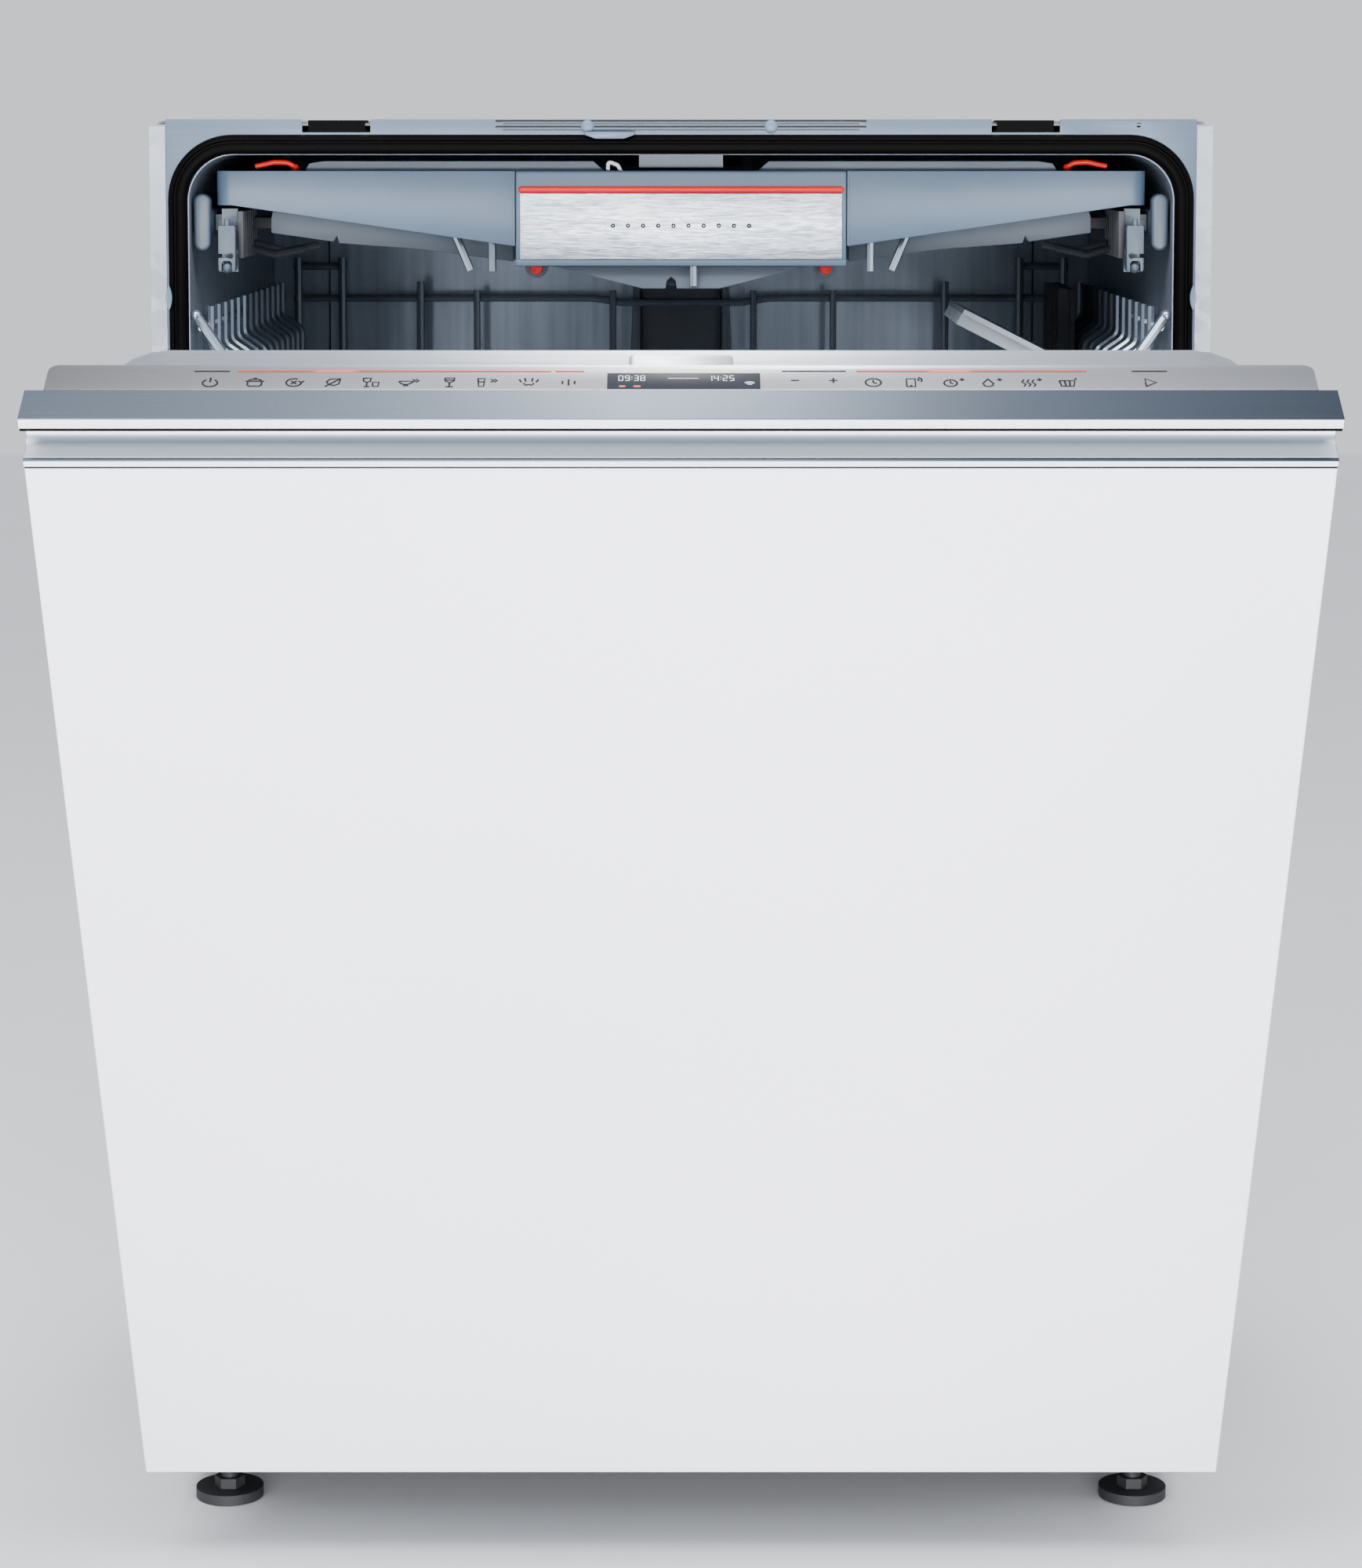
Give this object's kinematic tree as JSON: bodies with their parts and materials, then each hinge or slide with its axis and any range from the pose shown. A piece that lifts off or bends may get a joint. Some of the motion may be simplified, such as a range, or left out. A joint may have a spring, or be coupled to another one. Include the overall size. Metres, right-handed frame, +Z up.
{
  "type": "built in dishwasher",
  "caption": "Built in dishwasher, its front ajar, with a cutlery drawer over two wire baskets in a steel tub and buttons along the top of the door.",
  "frame": {"origin": "on the floor, midway between the four feet", "axes": "+X across the front, +Y from the door to the rear, +Z up"},
  "size_m": [0.602, 0.9182, 0.817],
  "materials": {
    "tub_steel": "brushed stainless, slightly blue",
    "frame_steel": "satin stainless",
    "galvanised": "galvanised sheet",
    "gasket_rubber": "matt black",
    "base_plastic": "moulded black",
    "bitumen": "matt felted mat",
    "light_plastic": "moulded pale grey",
    "white_plastic": "moulded white",
    "grey_plastic": "moulded blue-grey",
    "dark_plastic": "moulded dark grey",
    "spring_steel": "zinc plated",
    "filter_steel": "perforated stainless",
    "pump_body": "moulded",
    "panel_steel": "fine brushed, anti-fingerprint",
    "display_black": "gloss black",
    "board_green": "solder mask",
    "zinc_latch": "zinc plated",
    "blue_plastic": "moulded",
    "front_white": "board with a satin white lacquer",
    "handle_aluminium": "brushed anodised",
    "zinc_steel": "zinc plated",
    "trim_red": "gloss",
    "plate_steel": "fine brushed",
    "basket_wire": "nylon coated steel wire",
    "wheel_plastic": "moulded"
  },
  "bodies": {
    "cabinet": {"tub": "tub_steel", "front_frame": "frame_steel", "door_gasket": "gasket_rubber", "lower_seal": "gasket_rubber", "base_tray": "base_plastic", "side_panels": "galvanised", "rear_panel": "galvanised", "top_cover": "galvanised", "insulation": "bitumen", "plinth_plate": "galvanised", "feet": "base_plastic", "hinge_brackets": "galvanised", "balance_springs": "spring_steel", "sump": "light_plastic", "filter_plate": "filter_steel", "circulation_pump": "pump_body", "drain_pump": "pump_body", "flow_heater": "galvanised", "salt_container": "light_plastic", "water_guide": "light_plastic", "rear_duct": "dark_plastic", "ceiling_duct": "grey_plastic", "inlet_valve": "white_plastic", "drain_connector": "dark_plastic", "power_inlet": "base_plastic", "worktop_brackets": "galvanised", "fixing_caps": "light_plastic", "tub_rails": "grey_plastic"},
    "door": {"door_shell": "galvanised", "inner_liner": "tub_steel", "control_panel": "panel_steel", "display_window": "display_black", "control_board": "board_green", "door_latch": "zinc_latch", "dispenser": "light_plastic", "furniture_front": "front_white", "handle_profile": "handle_aluminium", "hinge_arms": "galvanised", "front_screws": "zinc_steel"},
    "dispenser_lid": {"dispenser_lid": "white_plastic"},
    "rinse_cap": {"rinse_cap": "blue_plastic"},
    "filter_cup": {"filter_cup": "dark_plastic"},
    "salt_cap": {"salt_cap": "light_plastic"},
    "cutlery_drawer": {"drawer_wings": "grey_plastic", "drawer_housing": "grey_plastic", "drawer_plate": "plate_steel", "drawer_trim": "trim_red", "drawer_tray": "grey_plastic", "drawer_combs": "grey_plastic", "drawer_runners": "wheel_plastic"},
    "upper_rack": {"upper_basket": "basket_wire", "upper_runners": "wheel_plastic", "upper_feed": "grey_plastic"},
    "cup_shelf_front": {"cup_shelf_front": "light_plastic"},
    "cup_shelf_rear": {"cup_shelf_rear": "dark_plastic"},
    "upper_spray_arm": {"upper_spray_arm": "grey_plastic"},
    "lower_spray_arm": {"lower_spray_arm": "grey_plastic"},
    "lower_rack": {"lower_basket": "basket_wire"},
    "lower_tines": {"lower_tines": "basket_wire"},
    "wheels_front": {"lower_wheels_front": "wheel_plastic"},
    "wheels_rear": {"lower_wheels_rear": "wheel_plastic"}
  },
  "joints": [
    {"name": "door_hinge", "type": "hinge", "parent": "cabinet", "child": "door", "pos_m": [0, -0.248, 0.133], "axis": [1, 0, 0], "range_deg": [-30, 60]},
    {"name": "cutlery_drawer_slide", "type": "slide", "parent": "cabinet", "child": "cutlery_drawer", "axis": [0, -1, 0], "range_m": [0, 0.4]},
    {"name": "upper_rack_slide", "type": "slide", "parent": "cabinet", "child": "upper_rack", "axis": [0, -1, 0], "range_m": [0, 0.24]},
    {"name": "lower_rack_slide", "type": "slide", "parent": "cabinet", "child": "lower_rack", "axis": [0, -1, 0], "range_m": [0, 0.06]},
    {"name": "dispenser_lid_slide", "type": "slide", "parent": "door", "child": "dispenser_lid", "axis": [0, 0.5, -0.866], "range_m": [0, 0.042]},
    {"name": "rinse_cap_turn", "type": "hinge", "parent": "door", "child": "rinse_cap", "pos_m": [0.056, -0.43346, 0.44623], "axis": [0, 0.866, 0.5], "range_deg": [0, 90]},
    {"name": "filter_turn", "type": "hinge", "parent": "cabinet", "child": "filter_cup", "pos_m": [0, -0.0655, 0.15], "axis": [0, 0, 1], "range_deg": [0, 90]},
    {"name": "salt_cap_turn", "type": "hinge", "parent": "cabinet", "child": "salt_cap", "pos_m": [-0.17199, -0.13, 0.15], "axis": [0, 0, 1], "range_deg": [0, 90]},
    {"name": "cup_shelf_front_fold", "type": "hinge", "parent": "upper_rack", "child": "cup_shelf_front", "pos_m": [0.246, -0.0825, 0.662], "axis": [0, 1, 0], "range_deg": [-27, 63]},
    {"name": "cup_shelf_rear_fold", "type": "hinge", "parent": "upper_rack", "child": "cup_shelf_rear", "pos_m": [0.246, 0.0775, 0.634], "axis": [0, 1, 0], "range_deg": [-62, 0]},
    {"name": "upper_arm_spin", "type": "hinge", "parent": "upper_rack", "child": "upper_spray_arm", "pos_m": [0, -0.0125, 0.5405], "axis": [0, 0, 1], "continuous": true},
    {"name": "lower_arm_spin", "type": "hinge", "parent": "cabinet", "child": "lower_spray_arm", "pos_m": [0, -0.0125, 0.1765], "axis": [0, 0, 1], "continuous": true},
    {"name": "lower_tines_fold", "type": "hinge", "parent": "lower_rack", "child": "lower_tines", "pos_m": [0, 0.0275, 0.2125], "axis": [1, 0, 0], "range_deg": [0, 80]},
    {"name": "wheels_front_roll", "type": "hinge", "parent": "lower_rack", "child": "wheels_front", "pos_m": [0, -0.1475, 0.1653], "axis": [1, 0, 0], "continuous": true},
    {"name": "wheels_rear_roll", "type": "hinge", "parent": "lower_rack", "child": "wheels_rear", "pos_m": [0, 0.1225, 0.1653], "axis": [1, 0, 0], "continuous": true}
  ],
  "couplings": [
    {"joint": "wheels_front_roll", "follows": "lower_rack_slide", "rad_per_m": 66.667},
    {"joint": "wheels_rear_roll", "follows": "lower_rack_slide", "rad_per_m": 66.667}
  ]
}
